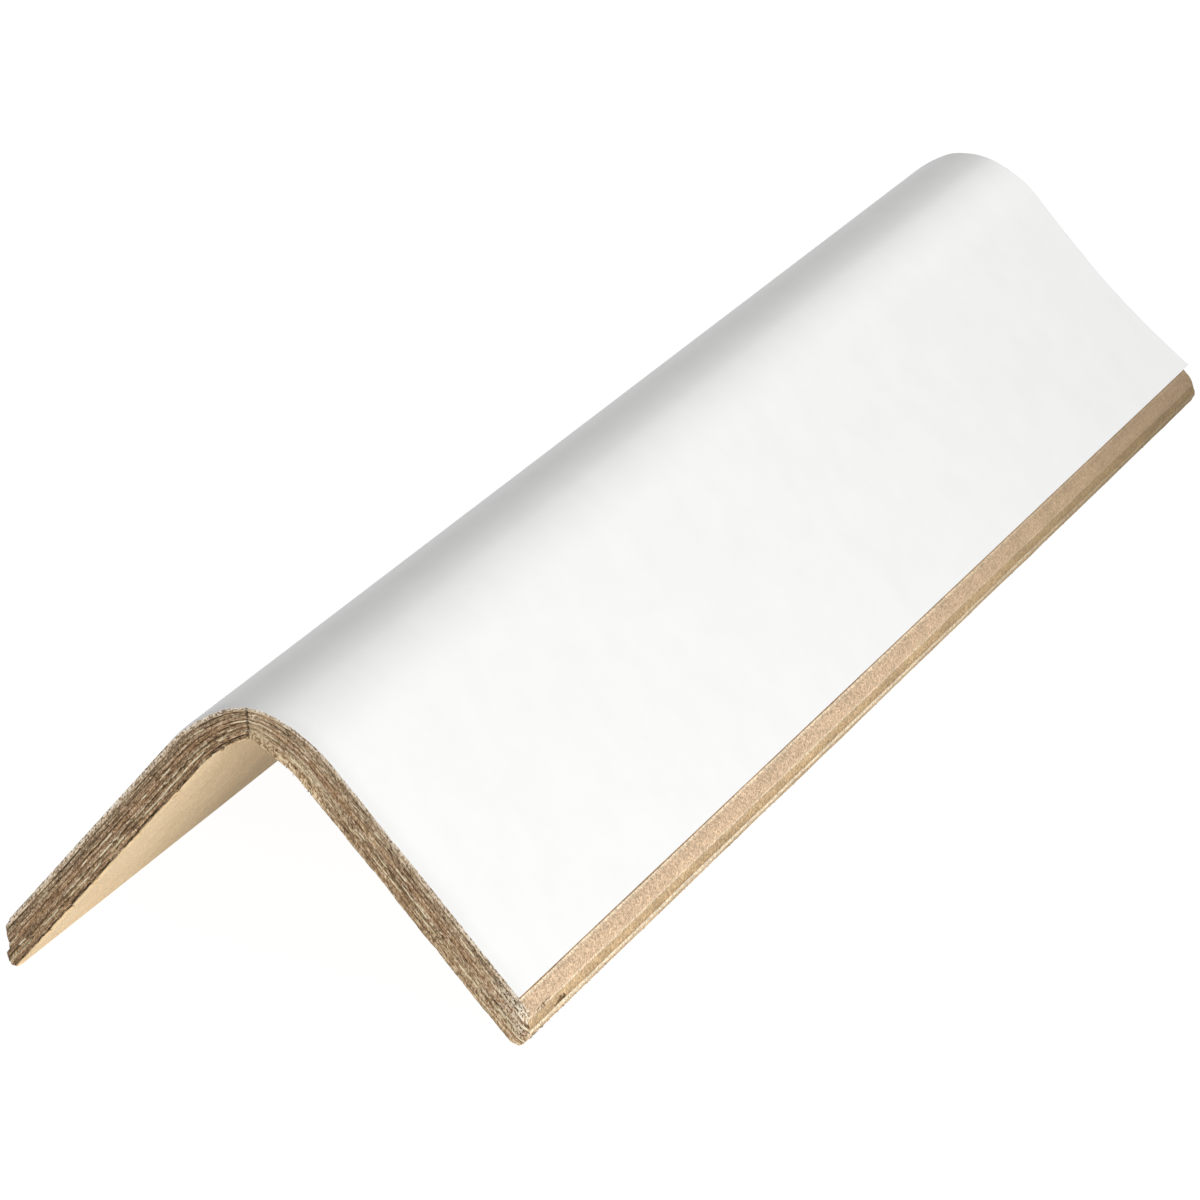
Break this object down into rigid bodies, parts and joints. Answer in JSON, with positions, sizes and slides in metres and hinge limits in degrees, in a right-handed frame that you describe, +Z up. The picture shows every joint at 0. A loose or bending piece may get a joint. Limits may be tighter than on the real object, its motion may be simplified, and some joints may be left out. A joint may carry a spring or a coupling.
{
  "type": "paperboard corner board",
  "caption": "Angle-section edge protector of laminated kraft paperboard with a white outer liner, rounded bend, stepped free edges and chopped ends.",
  "frame": {"origin": "on the floor under the middle of the bend, at mid length and midway between the two free edges", "axes": "+Y along the bend, +Z up from the floor to the bend, +X to the right leg"},
  "size_m": [0.0632, 0.2286, 0.0351],
  "materials": {
    "white_liner": "bleached white liner paper, smooth, with a faint calendered sheen",
    "core_board": "recycled brown paperboard ply, rough and fibrous where it is chopped",
    "kraft_liner": "smooth natural kraft liner, matte"
  },
  "bodies": {
    "root": {"white_liner": "white_liner", "core_ply_1": "core_board", "core_ply_2": "core_board", "core_ply_3": "core_board", "core_ply_4": "core_board", "core_ply_5": "core_board", "core_ply_6": "core_board", "core_ply_7": "core_board", "kraft_liner": "kraft_liner"}
  },
  "joints": []
}
